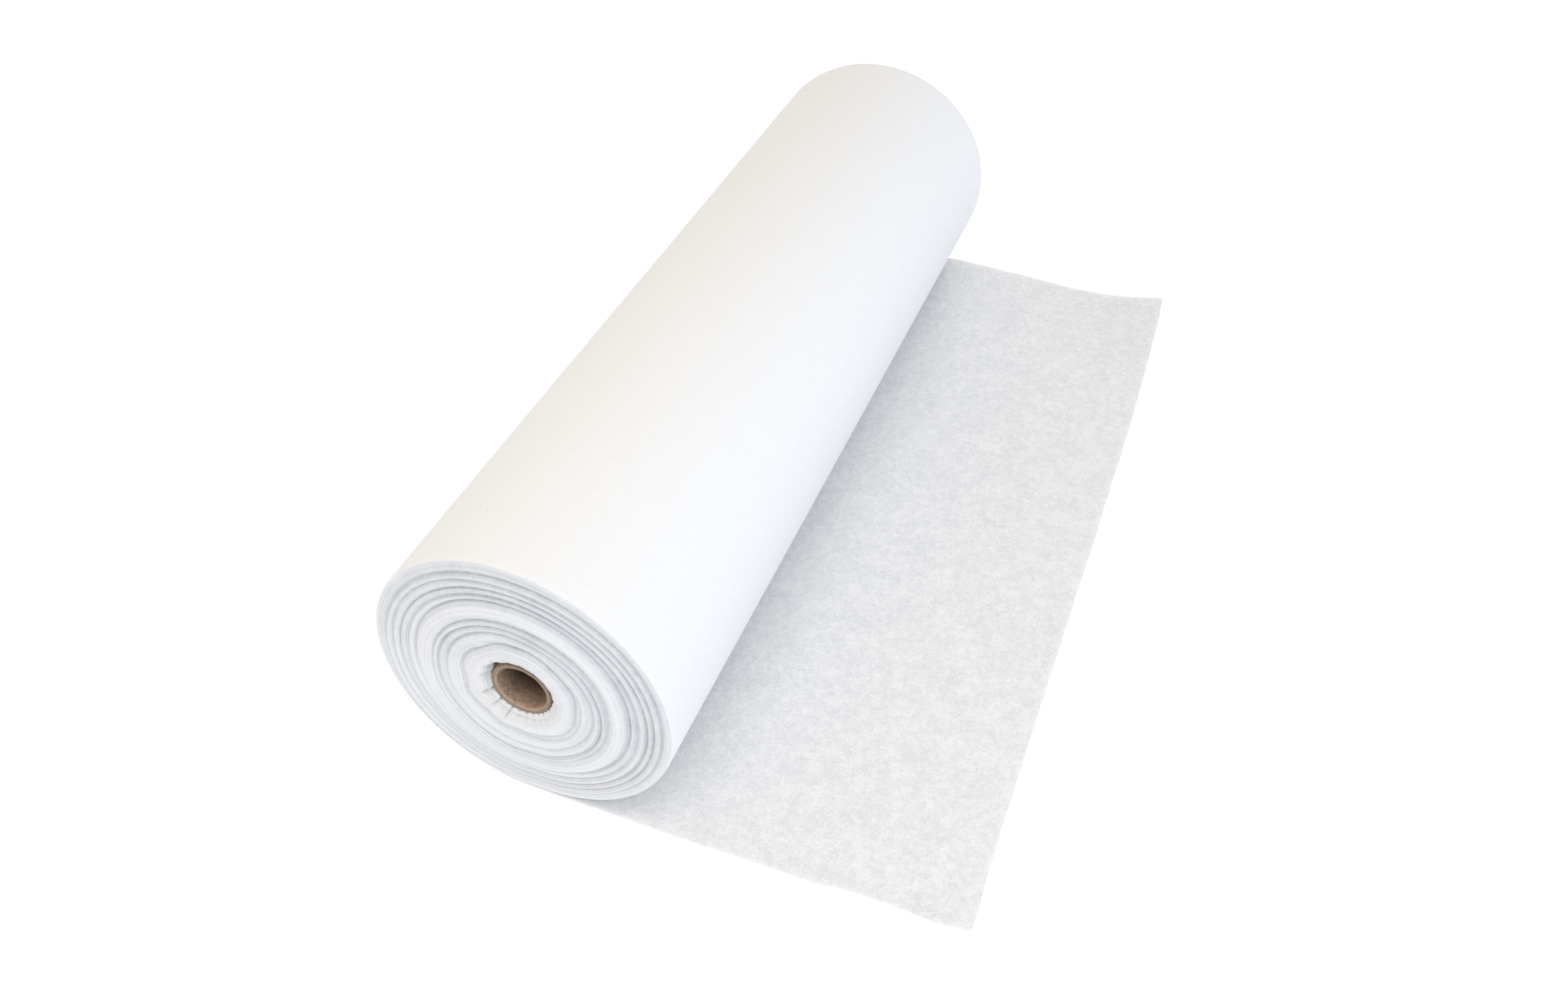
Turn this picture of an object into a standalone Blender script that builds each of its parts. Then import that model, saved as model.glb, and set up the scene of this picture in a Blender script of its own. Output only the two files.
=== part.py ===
# A roll of white nonwoven fleece on a cardboard core, with its loose end laid out to one side.
# Metres, +Z up. The roll's axis runs along Y, its near end faces -Y and the loose end lies towards +X.
# The pieces are shaped about the point on the floor under the near end's centre, and then hung on an
# empty that puts the middle of the whole object's footprint at the origin.
import bmesh
import bpy
from math import atan2, cos, hypot, pi, sin
from mathutils import Vector

MM = 0.001

# The wound roll
ROLL_WIDTH = 998 * MM            # the web's width, from end face to end face
ROLL_RADIUS_X = 143 * MM         # half of the roll's breadth at the near end
ROLL_RADIUS_Z = 140.5 * MM       # the roll sags a little under its own weight, so it is lower than broad
ROLL_SINK = 1.4 * MM             # depth that the flat spot takes off the underside
ROLL_FLARE = 0.018               # growth of the radius from the near end to the far end
ROLL_DRIFT = -4.9 * MM           # sideways drift of the outside from the near end to the far end
END_SLANT = -0.022               # the near end leans: metres out of its plane for each metre across
RIM_ROUND = 4 * MM               # rounding where the outside turns onto an end
END_DEPTH = 8 * MM               # how far behind the near end's plane its deepest point may lie
ROLL_STEPS = 64                  # flats round the roll and round its core
ROLL_SPANS = 5                   # stretches along the roll

# The cardboard core
CORE_BORE = 49 * MM
CORE_WALL = 4.2 * MM
CORE_OFFSET = 3.4 * MM           # the core lies a little to the right of the near end's centre
CORE_RISE = 1.8 * MM             # and a little above it
CORE_OUT = 2.6 * MM              # how far the core stands out past the near end's plane
CORE_LENGTH = 1002 * MM
CORE_EDGE = 0.4 * MM             # chamfer of the tube's cut edges

# The loose end
WEB = 2 * MM                     # thickness of the fleece where nothing presses it
LOOSE_REACH = 410 * MM           # from the roll's axis to the cut edge
LOOSE_START = 18 * MM            # where the web leaves the roll, from the roll's axis
LOOSE_COLUMNS = 28
LOOSE_ROWS = 30
LIFT_FROM = 0.60                 # share of the web's width at which the far edge's lift begins
LIFT_POWER = 1.7                 # how late the lift comes in: 1 is an even slope
GAP = 0.3 * MM

# The bundles of turns that show on the near end, from the rim inwards, each a rounded lip between two
# creases. The first six columns give where its outer crease lies, as a share of the radius, at six angles
# clockwise from the top as seen from the near end. The last is how far the lip stands out past the end's
# plane, in millimetres.
BUNDLES = [
    # at 0, at 60, at 120, at 180, at 240, at 300 degrees, crest
    (0.885, 0.939, 0.940, 0.933, 0.954, 0.908, 0.5),
    (0.837, 0.889, 0.893, 0.889, 0.912, 0.866, -0.3),
    (0.786, 0.842, 0.848, 0.846, 0.864, 0.804, -0.8),
    (0.733, 0.778, 0.788, 0.790, 0.796, 0.757, -0.6),
    (0.693, 0.741, 0.737, 0.728, 0.739, 0.706, 3.6),
    (0.527, 0.577, 0.604, 0.630, 0.636, 0.571, 2.2),
    (0.479, 0.514, 0.569, 0.605, 0.600, 0.530, 1.2),
    (0.423, 0.460, 0.510, 0.546, 0.550, 0.482, 1.0),
    (0.340, 0.380, 0.400, 0.431, 0.425, 0.357, 5.0),
]
RIM_CREST = 0.0                  # crest of the outermost bundle, in millimetres
CREASE_DEPTH = 2.2 * MM          # how far a crease lies behind the lower of its two lips
LIP_FALL = 6 * MM                # how far the innermost lip falls back where it meets the core
LIP_SIDES = (0.28, 0.70)         # where a lip's crest begins and ends, as shares of its width

# The far end is plainer: lips of even height, by their outer creases' shares of the radius.
FAR_CREASES = (0.88, 0.70, 0.52, 0.36)
FAR_CREST = 1 * MM
FAR_CREASE_DEPTH = 1.2 * MM

# The far edge of the loose end: how high its underside is lifted, by distance from the roll's axis.
FAR_EDGE_LIFT = [
    # distance, lift in millimetres
    (18, 0.0), (36, 0.0), (70, 8.0), (105, 17.4), (150, 16.8), (205, 14.2), (245, 11.2), (285, 8.9),
    (325, 8.7), (350, 11.2), (375, 15.6), (398, 18.9), (410, 19.6),
]
# The cut edge: how far it falls short of the full reach, by distance from the near end.
CUT_EDGE_BOW = [
    # distance, bow in millimetres
    (0, 0.0), (120, 1.4), (300, 0.9), (560, 0.0), (760, 0.4), (850, 1.9), (920, 3.4), (968, 5.6), (998, 8.2),
]
# The near long edge waves a little, by distance from the roll's axis.
NEAR_EDGE_WAVE = [
    # distance, how far towards -Y in millimetres
    (18, 0.8), (130, 2.4), (240, 2.9), (268, 3.4), (295, 0.8), (320, 0.2), (347, 0.7), (373, 2.9), (410, 0.6),
]

axis_height = ROLL_RADIUS_Z - ROLL_SINK
core_radius = CORE_BORE / 2 + CORE_WALL
hole_radius = core_radius + GAP
hole_share = hole_radius / ROLL_RADIUS_X


def clear_scene():
    for item in list(bpy.data.objects):
        bpy.data.objects.remove(item, do_unlink=True)


def new_collection(name):
    group = bpy.data.collections.new(name)
    bpy.context.scene.collection.children.link(group)
    return group


def new_material(name, colour, roughness):
    made = bpy.data.materials.new(name)
    made.use_nodes = True
    shader = made.node_tree.nodes["Principled BSDF"]
    shader.inputs["Base Color"].default_value = (*colour, 1)
    shader.inputs["Roughness"].default_value = roughness
    shader.inputs["Metallic"].default_value = 0
    return made


def new_object(name, mesh, group, finish=None):
    made = bpy.data.objects.new(name, mesh)
    group.objects.link(made)
    if finish:
        mesh.materials.append(finish)
    return made


def read_table(table, distance):
    """A smooth curve through the rows of a table whose distances and sizes are in millimetres."""
    place = min(max(distance / MM, table[0][0]), table[-1][0])
    index = max(row for row in range(len(table) - 1) if table[row][0] <= place)
    (start, low), (end, high) = table[index], table[index + 1]
    before, after = table[max(index - 1, 0)], table[min(index + 2, len(table) - 1)]
    leaving = (high - before[1]) / (end - before[0]) * (end - start)
    arriving = (after[1] - low) / (after[0] - start) * (end - start)
    share = (place - start) / (end - start)
    eased = share * share * (3 - 2 * share)
    curved = leaving * share * (1 - share) ** 2 - arriving * share * share * (1 - share)
    return (low + (high - low) * eased + curved) * MM


def read_shares(share, old, new):
    """Moves a share of the radius from where it lies between the old creases to between the new ones."""
    for old_out, old_in, new_out, new_in in zip(old, old[1:], new, new[1:]):
        if share >= old_in:
            return new_in + (new_out - new_in) * (share - old_in) / (old_out - old_in)
    return share


def mean_creases():
    return [1.0] + [sum(row[:6]) / 6 for row in BUNDLES] + [hole_share]


def creases_at(turn):
    """The near end's creases at an angle clockwise from the top, in shares of the radius, rim inwards."""
    place = turn % (2 * pi) / (pi / 3)
    index = int(place) % 6
    share = place - int(place)
    found = [1.0]
    for row in BUNDLES:
        before, here, after, later = (row[(index + step) % 6] for step in (-1, 0, 1, 2))
        bend = 2 * before - 5 * here + 4 * after - later + share * (3 * (here - after) + later - before)
        found.append(here + share * (after - before + share * bend) / 2)
    return found + [hole_share]


def near_end_profile():
    """Points across the near end as (share of the radius, distance out of its plane), rim inwards."""
    crests = [RIM_CREST] + [row[6] for row in BUNDLES]
    creases = mean_creases()
    points = [(1 - LIP_SIDES[1] * (1 - creases[1]), crests[0] * MM)]
    for index, crease in enumerate(creases[1:-1]):
        outer_crest, inner_crest = crests[index] * MM, crests[index + 1] * MM
        width = crease - creases[index + 2]
        points.append((crease, min(outer_crest, inner_crest) - CREASE_DEPTH))
        points += [(crease - side * width, inner_crest) for side in LIP_SIDES]
    return points + [(hole_share, crests[-1] * MM - LIP_FALL)]


def far_end_profile():
    """Points across the far end as (share of the radius, distance out of its plane), hole outwards."""
    points = [(hole_share, -FAR_CREASE_DEPTH)]
    inner = hole_share
    for crease in reversed(FAR_CREASES):
        width = crease - inner
        points += [(inner + side * width, FAR_CREST) for side in LIP_SIDES]
        points.append((crease, -FAR_CREASE_DEPTH))
        inner = crease
    return points


def roll_profile():
    """The roll's half section as (radius, place along the roll), far end, outside, near end."""
    points = [(share * ROLL_RADIUS_X, ROLL_WIDTH + out) for share, out in far_end_profile()]
    corner = [(1.0, 0.0), (0.5, 0.13), (0.13, 0.5), (0.0, 1.0)]  # a quarter round, in shares of its radius
    for inwards, along in corner:
        points.append((ROLL_RADIUS_X - inwards * RIM_ROUND, ROLL_WIDTH - along * RIM_ROUND))
    straight = ROLL_WIDTH - 2 * RIM_ROUND
    for span in range(1, ROLL_SPANS):
        points.append((ROLL_RADIUS_X, RIM_ROUND + straight * (1 - span / ROLL_SPANS)))
    for inwards, along in reversed(corner):
        points.append((ROLL_RADIUS_X - inwards * RIM_ROUND, along * RIM_ROUND))
    points += [(share * ROLL_RADIUS_X, -out) for share, out in near_end_profile()]
    return points


def turn_profile(name, points):
    """Turns a closed profile of (radius, place along) about Z, and gives the turned mesh."""
    mesh = bpy.data.meshes.new(name)
    corners = [(radius, 0, along) for radius, along in points]
    edges = [(index, (index + 1) % len(corners)) for index in range(len(corners))]
    mesh.from_pydata(corners, edges, [])
    turned = bpy.data.objects.new(name, mesh)
    bpy.context.scene.collection.objects.link(turned)
    screw = turned.modifiers.new("Turn", "SCREW")
    screw.axis = "Z"
    screw.steps = ROLL_STEPS
    screw.render_steps = ROLL_STEPS
    screw.use_merge_vertices = True
    screw.merge_threshold = 0.00001
    screw.use_smooth_shade = True
    bpy.context.view_layer.update()
    evaluated = turned.evaluated_get(bpy.context.evaluated_depsgraph_get())
    result = bpy.data.meshes.new_from_object(evaluated)
    bpy.data.objects.remove(turned, do_unlink=True)
    return result


def wound_place(radius, turn, along):
    """Where a point of the turned roll lies once the roll is wound unevenly, sags and lies on its side.
    The angle is clockwise from the top, as seen from the near end."""
    share = radius / ROLL_RADIUS_X
    if along < END_DEPTH:
        share = read_shares(share, mean_creases(), creases_at(turn))
    outward = (share - hole_share) / (1 - hole_share)
    further = min(max(along / ROLL_WIDTH, 0), 1)
    innermost = creases_at(turn)[-2]
    beside_core = min(max((innermost - share) / (innermost - hole_share), 0), 1)
    grown = share * ROLL_RADIUS_X * (1 + ROLL_FLARE * further * outward)
    sag = 1 + (ROLL_RADIUS_Z / ROLL_RADIUS_X - 1) * outward
    x = grown * sin(turn) + ROLL_DRIFT * further * outward + CORE_OFFSET * beside_core
    z = grown * cos(turn) * sag + axis_height + ROLL_RADIUS_Z * ROLL_FLARE * further * outward
    z += CORE_RISE * beside_core
    y = along + END_SLANT * x * (1 - further)
    return Vector((x, y, z))


def cut(piece, low, high, group):
    """Takes a box away from a piece with a Boolean."""
    mesh = bpy.data.meshes.new("cutter")
    shape = bmesh.new()
    bmesh.ops.create_cube(shape, size=1)
    size = Vector(high) - Vector(low)
    bmesh.ops.scale(shape, vec=size, verts=shape.verts)
    bmesh.ops.translate(shape, vec=(Vector(high) + Vector(low)) / 2, verts=shape.verts)
    shape.to_mesh(mesh)
    shape.free()
    cutter = new_object(f"{piece.name}_cutter_{len(group.objects) + 1}", mesh, group)
    cutter.display_type = "WIRE"
    cutter.hide_render = True
    boolean = piece.modifiers.new("Cut", "BOOLEAN")
    boolean.operation = "DIFFERENCE"
    boolean.solver = "EXACT"
    boolean.object = cutter


def make_roll(group, cutters):
    """The wound web: turned from its half section, pushed out of true, and cut flat underneath."""
    mesh = turn_profile("fleece_roll", roll_profile())
    for point in mesh.vertices:
        x, y, along = point.co
        point.co = wound_place(hypot(x, y), atan2(x, -y), along)
    roll = new_object("fleece_roll", mesh, group, new_material("fleece wound", (0.88, 0.89, 0.90), 0.95))
    past = 50 * MM
    cut(roll, (-2 * past, -past, -past), (LOOSE_START, ROLL_WIDTH + past, 0), cutters)
    cut(
        roll,
        (LOOSE_START, -past, -past),
        (LOOSE_START + 2 * past, ROLL_WIDTH + past, WEB + GAP),
        cutters,
    )
    return roll


def make_core(group):
    """The cardboard tube, turned from a chamfered wall, straight through the roll."""
    inner, outer = CORE_BORE / 2, core_radius
    wall = [
        (inner, CORE_LENGTH - CORE_EDGE),
        (inner + CORE_EDGE, CORE_LENGTH),
        (outer - CORE_EDGE, CORE_LENGTH),
        (outer, CORE_LENGTH - CORE_EDGE),
        (outer, CORE_EDGE),
        (outer - CORE_EDGE, 0),
        (inner + CORE_EDGE, 0),
        (inner, CORE_EDGE),
    ]
    mesh = turn_profile("core_tube", wall)
    for point in mesh.vertices:
        x, y, along = point.co
        point.co = (x + CORE_OFFSET, along - CORE_OUT, axis_height + CORE_RISE - y)
    return new_object("core_tube", mesh, group, new_material("cardboard", (0.52, 0.37, 0.25), 0.8))


def loose_place(across, along):
    """A point of the loose end's underside, from its shares of the reach and of the web's width."""
    near_edge = -read_table(NEAR_EDGE_WAVE, LOOSE_START + (LOOSE_REACH - LOOSE_START) * across)
    y = near_edge + (ROLL_WIDTH - near_edge) * along
    reach = LOOSE_REACH - read_table(CUT_EDGE_BOW, y)
    start = LOOSE_START + GAP
    x = start + (reach - start) * across
    lifted = (max(along - LIFT_FROM, 0) / (1 - LIFT_FROM)) ** LIFT_POWER
    return Vector((x, y, max(read_table(FAR_EDGE_LIFT, x), 0) * lifted))


def make_loose_end(group):
    """The unrolled web: a sheet that lies flat, but for its lifted far edge."""
    mesh = bpy.data.meshes.new("loose_end")
    shape = bmesh.new()
    bmesh.ops.create_grid(shape, x_segments=LOOSE_COLUMNS, y_segments=LOOSE_ROWS, size=0.5)
    for point in shape.verts:
        point.co = loose_place(point.co.x + 0.5, point.co.y + 0.5)
    shape.to_mesh(mesh)
    shape.free()
    mesh.shade_smooth()
    sheet = new_object("loose_end", mesh, group, new_material("fleece sheet", (0.84, 0.85, 0.86), 0.95))
    thickness = sheet.modifiers.new("Web", "SOLIDIFY")
    thickness.thickness = WEB
    thickness.offset = 1
    return sheet


def centre_on_origin(pieces, cutters, group):
    """Hangs everything on an empty, placed so that the middle of the pieces' footprint is the origin."""
    bpy.context.view_layer.update()
    graph = bpy.context.evaluated_depsgraph_get()
    points = [point.co.copy() for piece in pieces for point in piece.evaluated_get(graph).to_mesh().vertices]
    middle = [(min(point[side] for point in points) + max(point[side] for point in points)) / 2
              for side in (0, 1)]
    holder = bpy.data.objects.new("roll_origin", None)
    group.objects.link(holder)
    holder.location = (-middle[0], -middle[1], 0)
    for item in pieces + cutters:
        item.parent = holder
    bpy.context.view_layer.update()


def main():
    clear_scene()
    group = new_collection("Roll of nonwoven fleece")
    cutters = new_collection("Cutters")
    roll = make_roll(group, cutters)
    pieces = [roll, make_core(group), make_loose_end(group)]
    centre_on_origin(pieces, list(cutters.objects), group)


main()
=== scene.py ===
from math import cos, pi, radians, sin

import bmesh
import bpy
import numpy as np
from mathutils import Matrix, Vector


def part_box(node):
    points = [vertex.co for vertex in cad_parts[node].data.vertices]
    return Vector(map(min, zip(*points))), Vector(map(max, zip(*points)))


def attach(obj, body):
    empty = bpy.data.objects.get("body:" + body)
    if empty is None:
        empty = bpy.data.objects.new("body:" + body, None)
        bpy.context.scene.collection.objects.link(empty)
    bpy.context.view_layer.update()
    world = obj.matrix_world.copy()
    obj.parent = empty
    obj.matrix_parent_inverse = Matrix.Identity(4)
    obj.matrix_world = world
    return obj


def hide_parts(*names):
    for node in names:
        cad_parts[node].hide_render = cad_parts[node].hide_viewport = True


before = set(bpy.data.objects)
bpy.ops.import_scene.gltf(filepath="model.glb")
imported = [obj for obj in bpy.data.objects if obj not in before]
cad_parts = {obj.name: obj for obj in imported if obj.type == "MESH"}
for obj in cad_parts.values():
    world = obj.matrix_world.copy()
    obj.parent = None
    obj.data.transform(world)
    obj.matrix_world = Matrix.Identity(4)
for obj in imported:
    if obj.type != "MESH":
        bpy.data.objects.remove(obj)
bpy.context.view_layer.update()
mm = 0.001
seeds = {"nearEnd": 5, "farEnd": 6, "lines": 7, "streaks": 8, "nearEdge": 11, "cutEdge": 12,
         "turnEdge": 13, "border": 14, "dents": 21, "fibres": 31}

# helpers for numbers

def ease(share):
    share = np.clip(share, 0, 1)
    return share * share * (3 - 2 * share)


def shareOf(value, start, stop):
    return np.clip((value - start) / (stop - start), 0, 1)


def degreesOf(turn):
    return np.degrees(np.mod(turn, 2 * pi))


def readTable(rows, place):
    # a smooth curve through rows of (place, value), both in the rows' own units
    knots = np.array(rows, float)
    x, y = knots[:, 0], knots[:, 1]
    place = np.clip(place, x[0], x[-1])
    low = np.clip(np.searchsorted(x, place, side="right") - 1, 0, len(x) - 2)
    before, after = np.maximum(low - 1, 0), np.minimum(low + 2, len(x) - 1)
    step = x[low + 1] - x[low]
    leaving = (y[low + 1] - y[before]) / (x[low + 1] - x[before]) * step
    arriving = (y[after] - y[low]) / (x[after] - x[low]) * step
    share = (place - x[low]) / step
    curved = leaving * share * (1 - share) ** 2 - arriving * share * share * (1 - share)
    return y[low] + (y[low + 1] - y[low]) * ease(share) + curved


def wander(places, spacing, spread, seed):
    # smooth random values along a line, one new value every spacing
    draws = np.random.default_rng(seed).normal(0, spread, int(np.max(places) / spacing) + 3)
    draws = np.clip(draws, -2 * spread, 2 * spread)
    low = (np.asarray(places) / spacing).astype(int)
    share = ease(np.asarray(places) / spacing - low)
    return draws[low] + (draws[low + 1] - draws[low]) * share


# the roll's own measures
# x across from the roll's axis, y along it from the near end, z up from the floor, in metres

coreLow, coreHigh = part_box("core_tube")
roll = {
    "axisX": (coreLow.x + coreHigh.x) / 2 - 0.0034,
    "nearY": coreLow.y + 0.0026,
    "axisHeight": 0.1391,
    "width": 0.998,
    "radiusX": 0.143,
    "radiusZ": 0.1405,
    "sink": 0.0014,  # how far the round would pass through the floor
    "sinkDepth": 0.022,  # the outer turns that are pressed flat share that between them
    "flare": 0.018,
    "drift": -0.0049,
    "slant": -0.022,
    "rimRound": 0.004,
    "coreOffset": 0.0034,  # the core lies a little to the right of the near end's centre
    "coreRise": 0.0018,  # and a little above it
    "holeRadius": 0.029,
    "rimLine": 0.975,  # a line just inside the rim that hardly follows the outermost crease
    "rimFollow": 0.08,
    "bulgeFrom": 0.86,  # the roll's bulges reach in to here, as a share of the radius
    "pitch": 0.0012,  # one turn of web
    "turns": 93,  # and the outer turn, which is part of the web sheet
    "nipTurn": radians(172.75),  # where the web leaves, clockwise from the top
}
holeShare = roll["holeRadius"] / roll["radiusX"]

# The creases between the bundles of turns on the near end, in shares of the radius every 30
# degrees clockwise from the top, and how far the bundle inside each stands out, in mm
creaseAngles = 12
bundles = (
    (0.893, 0.916, 0.935, 0.930, 0.934, 0.938, 0.938, 0.966, 0.958, 0.931, 0.909, 0.897, 0.5),
    (0.840, 0.858, 0.884, 0.885, 0.892, 0.900, 0.906, 0.927, 0.917, 0.889, 0.868, 0.851, -0.3),
    (0.781, 0.799, 0.832, 0.841, 0.851, 0.862, 0.873, 0.886, 0.873, 0.841, 0.808, 0.787, -0.8),
    (0.728, 0.744, 0.769, 0.778, 0.792, 0.806, 0.818, 0.827, 0.814, 0.784, 0.759, 0.736, -0.6),
    (0.691, 0.712, 0.733, 0.732, 0.739, 0.748, 0.744, 0.746, 0.744, 0.726, 0.704, 0.690, 3.6),
    (0.541, 0.555, 0.581, 0.587, 0.603, 0.624, 0.650, 0.653, 0.641, 0.597, 0.567, 0.549, 2.2),
    (0.491, 0.489, 0.520, 0.543, 0.571, 0.593, 0.624, 0.626, 0.601, 0.563, 0.531, 0.501, 1.2),
    (0.435, 0.438, 0.461, 0.486, 0.502, 0.526, 0.561, 0.566, 0.548, 0.505, 0.472, 0.446, 1.0),
    (0.350, 0.357, 0.364, 0.376, 0.391, 0.416, 0.431, 0.423, 0.418, 0.383, 0.358, 0.341, 5.0),
)
# how far the innermost crease strays from that: (degrees, thousandths of the radius)
strays = ((0, 0), (20, 5), (40, -5), (60, -8), (80, 5), (100, -7), (120, 4), (140, 7), (160, -5), (180, 4),
          (192, -5), (205, 13), (220, -9), (240, 8), (260, -10), (280, 11), (300, 4), (320, -9),
          (340, 6), (360, 0))
farCreases = (0.88, 0.70, 0.52, 0.36)

# Folds of the innermost turns round the core: (degrees clockwise from the top, mm that the fold's
# point and the turns halfway to the next fold stand away from the core, how sharp the fold is,
# how fast it fades outwards)
puckers = (
    (-38, 3.4, 0.2, 4, 2.0), (-14, 0.8, 0.1, 2, 3), (9, 0.6, 0.1, 2, 3), (33, 0.9, 0.1, 2, 3),
    (52, 0.6, 0.1, 2, 3), (71, 1.1, 0.1, 2, 3), (100, 1.7, 0.1, 2, 1.6), (112, 1.3, 0.1, 2, 1.4),
    (124, 2.4, 0.1, 2, 1.1), (134, 1.6, 0.1, 2, 1.1), (144, 2.6, 0.1, 2, 1.0),
    (155, 2.4, 0.2, 2, 1.0), (166, 3.0, 0.2, 2.4, 1.0), (178, 3.6, 0.2, 2.4, 0.9),
    (191, 2.4, 0.2, 2, 0.9), (204, 8.5, 0.2, 4.5, 0.8), (214, 2.6, 0.2, 2, 0.9),
    (225, 6.0, 0.2, 3.5, 0.9), (245, 7.0, 0.3, 3.5, 0.9), (277, 2.6, 0.4, 2, 1.2),
    (298, 2.2, 0.3, 2, 1.6), (322, 3.4, 0.2, 4, 2.0),
)
# how far the turns fall back beside the core: (degrees, mm)
recesses = ((0, 0), (236, 0), (258, 3.5), (285, 5), (316, 6), (334, 0), (360, 0))
# how strongly they wave there: (degrees, mm)
waves = ((0, 0.15), (60, 0.15), (100, 0.4), (150, 0.6), (230, 0.7), (270, 0.5), (320, 0.3), (360, 0.15))

# How far the roll bulges past a round at an angle clockwise from the top: (degrees, mm)
bulges = ((0, 0.6), (60, 1.4), (112, 2.2), (150, 1.2), (172, 0.0), (200, 0.4), (240, 0.8), (300, 0.5),
          (360, 0.6))


def creasesAt(turn):
    # rim inwards: the rim, a line just inside it that hardly moves, the creases, the hole
    place = np.mod(turn, 2 * pi) / (2 * pi / creaseAngles)
    index, share = int(place) % creaseAngles, place - int(place)
    found = []
    for row in bundles:
        before, here, after, later = (row[(index + step) % creaseAngles] for step in (-1, 0, 1, 2))
        bend = 2 * before - 5 * here + 4 * after - later + share * (3 * (here - after) + later - before)
        found.append(here + share * (after - before + share * bend) / 2)
    inside = roll["rimLine"] + roll["rimFollow"] * (found[0] - meanCreases[2])
    return np.array([1.0, inside] + found + [holeShare])


meanCreases = np.array([1.0, roll["rimLine"], *(sum(row[:creaseAngles]) / creaseAngles for row in bundles),
                        holeShare])


def woundPlace(share, turn, along):
    # where a point of the winding lies: flared and drifted to the far end, sagged, pressed flat below
    innermost = readTable([(step * 360 / creaseAngles, bundles[-1][step % creaseAngles])
                           for step in range(creaseAngles + 1)], degreesOf(turn))
    outward = (share - holeShare) / (1 - holeShare)
    further = shareOf(along, 0, roll["width"])
    besideCore = shareOf(share, innermost, holeShare)
    grown = share * roll["radiusX"] * (1 + roll["flare"] * further * outward)
    grown = grown + readTable(bulges, degreesOf(turn)) * mm * ease(shareOf(share, roll["bulgeFrom"], 1))
    sag = 1 + (roll["radiusZ"] / roll["radiusX"] - 1) * outward
    x = grown * np.sin(turn) + roll["drift"] * further * outward + roll["coreOffset"] * besideCore
    z = (grown * np.cos(turn) * sag + roll["axisHeight"] + roll["coreRise"] * besideCore
         + roll["radiusZ"] * roll["flare"] * further * outward)
    depth = (1 - share) * roll["radiusX"]
    z = np.maximum(z, depth - roll["sink"] * ease(depth / roll["sinkDepth"]))
    y = along + roll["slant"] * x * (1 - further)
    return np.stack(np.broadcast_arrays(x + roll["axisX"], y + roll["nearY"], z), axis=-1)


# the camera, placed from the near end's centre on the floor
cameraLook = {
    "across": 0.4905,
    "before": 0.6511,
    "height": 1.0371,
    "azimuth": 20.92,
    "elevation": 40.9,
    "roll": 0.07,
    "lens": 31.77,
    "sensor": 36,
    "clip": (0.02, 60),
}


def addCamera():
    data = bpy.data.cameras.new("photoCamera")
    data.lens = cameraLook["lens"]
    data.sensor_fit = "HORIZONTAL"
    data.sensor_width = cameraLook["sensor"]
    data.clip_start, data.clip_end = cameraLook["clip"]
    camera = bpy.data.objects.new("photoCamera", data)
    bpy.context.scene.collection.objects.link(camera)
    turned = (Matrix.Rotation(radians(cameraLook["azimuth"]), 4, "Z")
              @ Matrix.Rotation(radians(90 - cameraLook["elevation"]), 4, "X")
              @ Matrix.Rotation(radians(cameraLook["roll"]), 4, "Z"))
    place = (roll["axisX"] + cameraLook["across"], roll["nearY"] - cameraLook["before"],
             cameraLook["height"])
    camera.matrix_world = Matrix.Translation(place) @ turned
    bpy.context.scene.camera = camera


addCamera()
print("camera placed")


def newPiece(name, points, faces, materials, finishes=None, smooth=True):
    mesh = bpy.data.meshes.new(name)
    mesh.from_pydata(np.asarray(points).reshape(-1, 3).tolist(), [], faces)
    for material in materials:
        mesh.materials.append(material)
    if finishes is not None:
        mesh.polygons.foreach_set("material_index", finishes)
    mesh.update()
    shape = bmesh.new()
    shape.from_mesh(mesh)
    bmesh.ops.recalc_face_normals(shape, faces=shape.faces)
    shape.to_mesh(mesh)
    shape.free()
    if smooth:
        mesh.shade_smooth()
    piece = bpy.data.objects.new(name, mesh)
    bpy.context.scene.collection.objects.link(piece)
    return piece


def addValues(piece, name, values):
    # a value for each point, which the materials read
    layer = piece.data.attributes.new(name, "FLOAT", "POINT")
    layer.data.foreach_set("value", np.asarray(values, np.float32).ravel())


# node helpers

def setInputs(tree, node, values):
    # links sockets and sets plain values; every colour is opaque
    for name, value in values.items():
        entry = node.inputs[name]
        if isinstance(value, bpy.types.NodeSocket):
            tree.links.new(value, entry)
        elif value is not None:
            entry.default_value = (*value[:3], 1.0) if entry.type == "RGBA" else value


def addNode(tree, kind, inputs=None, **settings):
    made = tree.nodes.new(kind)
    for name, value in settings.items():
        setattr(made, name, value)
    setInputs(tree, made, inputs or {})
    return made


def mixColours(tree, factor, first, second):
    # sockets 0, 6 and 7 are the colour mix's factor, A and B
    return addNode(tree, "ShaderNodeMix", {0: factor, 6: first, 7: second}, data_type="RGBA").outputs[2]


def maths(tree, operation, first, second=None, clamp=False):
    return addNode(tree, "ShaderNodeMath", {0: first, 1: second}, operation=operation,
                   use_clamp=clamp).outputs[0]


def times(tree, first, second):
    return maths(tree, "MULTIPLY", first, second)


def minus(tree, first, second):
    return maths(tree, "SUBTRACT", first, second)


def remap(tree, value, low, high, newLow=0.0, newHigh=1.0):
    return addNode(tree, "ShaderNodeMapRange", {"Value": value, "From Min": low, "From Max": high,
                                                "To Min": newLow, "To Max": newHigh}).outputs[0]


def noise(tree, where, scale, detail=2.0, rough=0.5, distortion=0.0):
    return addNode(tree, "ShaderNodeTexNoise", {"Vector": where, "Scale": scale, "Detail": detail,
                                                "Roughness": rough, "Distortion": distortion}).outputs[0]


def readValues(tree, name):
    return addNode(tree, "ShaderNodeAttribute", attribute_name=name).outputs["Fac"]


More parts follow.
